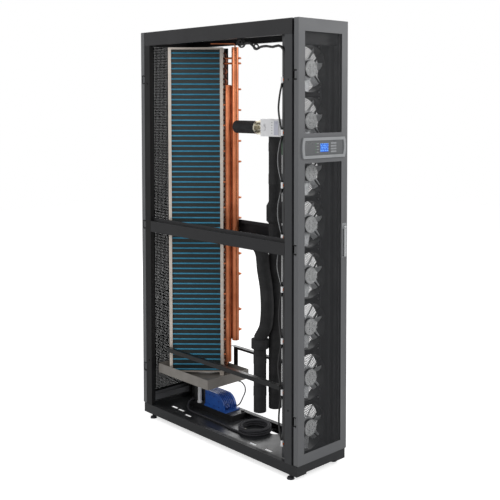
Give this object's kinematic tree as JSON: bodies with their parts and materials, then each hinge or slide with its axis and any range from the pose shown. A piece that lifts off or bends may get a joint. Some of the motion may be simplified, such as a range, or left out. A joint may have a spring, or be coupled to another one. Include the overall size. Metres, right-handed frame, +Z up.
{
  "type": "in row cooling unit",
  "caption": "Narrow chilled-water cooler for a row of server racks: slanted coil, column of fans, insulated pipes, pump and perforated doors, with its side panels off.",
  "frame": {"origin": "centre of the footprint at floor level, under the feet", "axes": "+X to the right seen from the front, +Y from the front door to the rear door, +Z up"},
  "size_m": [0.305, 1.126, 1.955],
  "materials": {
    "frame_paint": "satin dark grey powder coat",
    "door_paint": "satin grey powder coat",
    "mesh_paint": "satin dark grey powder coat",
    "base_paint": "satin black powder coat",
    "zinc": "zinc plated",
    "fan_metal": "cast and spun aluminium",
    "fan_plate": "satin black",
    "fins": "blue coated fins",
    "casing": "mill finish sheet",
    "copper": "copper, lightly tarnished",
    "insulation": "matt foam rubber",
    "black_rubber": "matt",
    "black_plastic": "textured black moulding",
    "blue_plastic": "blue moulding",
    "white_plastic": "white moulding",
    "grey_plastic": "grey moulding",
    "panel_plastic": "keypad film",
    "key_plastic": "light grey moulding",
    "screen_glass": "lit blue display",
    "board_green": "green circuit board",
    "valve_brass": "nickel plated brass",
    "pan_metal": "dull sheet"
  },
  "bodies": {
    "cabinet": {"base_frame": "base_paint", "floor_pan": "frame_paint", "leveling_feet": "black_plastic", "posts_front": "frame_paint", "posts_rear": "frame_paint", "top_frame": "frame_paint", "top_panel": "frame_paint", "side_brace_left": "frame_paint", "side_brace_right": "frame_paint", "coil_rail_left": "frame_paint", "coil_rail_right": "frame_paint", "fan_bulkhead": "frame_paint", "fan_housings": "fan_plate", "coil_casing": "casing", "coil_core": "fins", "return_bends": "copper", "supply_header": "copper", "return_header": "copper", "drain_pan": "pan_metal", "drain_tube": "white_plastic", "valve_body": "valve_brass", "actuator_housing": "white_plastic", "supply_insulation": "insulation", "return_insulation": "insulation", "pump_tray": "black_plastic", "pump_housing": "blue_plastic", "condensate_tank": "black_plastic", "discharge_hose": "black_rubber", "discharge_hose_coil": "black_rubber", "pump_lead": "black_rubber", "wiring_harness": "black_rubber", "harness_connectors": "white_plastic", "control_board": "board_green", "hinge_brackets": "zinc"},
    "front_door": {"front_door_frame": "door_paint", "front_door_mesh": "mesh_paint", "front_door_gasket": "black_rubber", "display_bezel": "grey_plastic", "display_panel": "panel_plastic", "display_screen": "screen_glass", "handle_dish": "black_plastic"},
    "spindle": {"lock_spindle": "zinc"},
    "lever": {"swing_lever": "grey_plastic"},
    "rear_door": {"rear_door_frame": "door_paint", "rear_door_mesh": "mesh_paint"},
    "latch": {"rear_latch": "black_plastic"},
    "stem": {"valve_stem": "valve_brass"},
    "button": {"actuator_button": "grey_plastic"},
    "key_body_1": {"key_1": "key_plastic"},
    "key_body_2": {"key_2": "key_plastic"},
    "key_body_3": {"key_3": "key_plastic"},
    "key_body_4": {"key_4": "key_plastic"},
    "rotor_1": {"fan_rotor_1": "fan_metal"},
    "rotor_2": {"fan_rotor_2": "fan_metal"},
    "rotor_3": {"fan_rotor_3": "fan_metal"},
    "rotor_4": {"fan_rotor_4": "fan_metal"},
    "rotor_5": {"fan_rotor_5": "fan_metal"},
    "rotor_6": {"fan_rotor_6": "fan_metal"},
    "rotor_7": {"fan_rotor_7": "fan_metal"},
    "rotor_8": {"fan_rotor_8": "fan_metal"}
  },
  "joints": [
    {"name": "front_door_swing", "type": "hinge", "parent": "cabinet", "child": "front_door", "pos_m": [-0.146, -0.532, 1], "axis": [0, 0, -1], "range_deg": [0, 110]},
    {"name": "handle_turn", "type": "hinge", "parent": "front_door", "child": "spindle", "pos_m": [0.1335, -0.55, 1.063], "axis": [0, 1, 0], "range_deg": [0, 90]},
    {"name": "handle_lift", "type": "hinge", "parent": "spindle", "child": "lever", "pos_m": [0.1335, -0.56, 1.063], "axis": [-1, 0, 0], "range_deg": [0, 35]},
    {"name": "rear_door_swing", "type": "hinge", "parent": "cabinet", "child": "rear_door", "pos_m": [-0.146, 0.537, 1], "axis": [0, 0, 1], "range_deg": [0, 110]},
    {"name": "rear_latch_turn", "type": "hinge", "parent": "rear_door", "child": "latch", "pos_m": [0.1335, 0.555, 1], "axis": [0, 1, 0], "range_deg": [0, 90]},
    {"name": "valve_turn", "type": "hinge", "parent": "cabinet", "child": "stem", "pos_m": [0.05, -0.156, 1.488], "axis": [1, 0, 0], "range_deg": [0, 90]},
    {"name": "release_button_press", "type": "slide", "parent": "cabinet", "child": "button", "axis": [1, 0, 0], "range_m": [0, 0.003], "stiffness_N_per_m": 120, "springref_m": -0.0005},
    {"name": "key_1_press", "type": "slide", "parent": "front_door", "child": "key_body_1", "axis": [0, 1, 0], "range_m": [0, 0.0012], "stiffness_N_per_m": 150, "springref_m": -0.0004},
    {"name": "key_2_press", "type": "slide", "parent": "front_door", "child": "key_body_2", "axis": [0, 1, 0], "range_m": [0, 0.0012], "stiffness_N_per_m": 150, "springref_m": -0.0004},
    {"name": "key_3_press", "type": "slide", "parent": "front_door", "child": "key_body_3", "axis": [0, 1, 0], "range_m": [0, 0.0012], "stiffness_N_per_m": 150, "springref_m": -0.0004},
    {"name": "key_4_press", "type": "slide", "parent": "front_door", "child": "key_body_4", "axis": [0, 1, 0], "range_m": [0, 0.0012], "stiffness_N_per_m": 150, "springref_m": -0.0004},
    {"name": "fan_1_spin", "type": "hinge", "parent": "cabinet", "child": "rotor_1", "pos_m": [0, -0.45, 0.182], "axis": [0, 1, 0], "continuous": true},
    {"name": "fan_2_spin", "type": "hinge", "parent": "cabinet", "child": "rotor_2", "pos_m": [0, -0.45, 0.406], "axis": [0, 1, 0], "continuous": true},
    {"name": "fan_3_spin", "type": "hinge", "parent": "cabinet", "child": "rotor_3", "pos_m": [0, -0.45, 0.63], "axis": [0, 1, 0], "continuous": true},
    {"name": "fan_4_spin", "type": "hinge", "parent": "cabinet", "child": "rotor_4", "pos_m": [0, -0.45, 0.854], "axis": [0, 1, 0], "continuous": true},
    {"name": "fan_5_spin", "type": "hinge", "parent": "cabinet", "child": "rotor_5", "pos_m": [0, -0.45, 1.078], "axis": [0, 1, 0], "continuous": true},
    {"name": "fan_6_spin", "type": "hinge", "parent": "cabinet", "child": "rotor_6", "pos_m": [0, -0.45, 1.302], "axis": [0, 1, 0], "continuous": true},
    {"name": "fan_7_spin", "type": "hinge", "parent": "cabinet", "child": "rotor_7", "pos_m": [0, -0.45, 1.526], "axis": [0, 1, 0], "continuous": true},
    {"name": "fan_8_spin", "type": "hinge", "parent": "cabinet", "child": "rotor_8", "pos_m": [0, -0.45, 1.75], "axis": [0, 1, 0], "continuous": true}
  ]
}
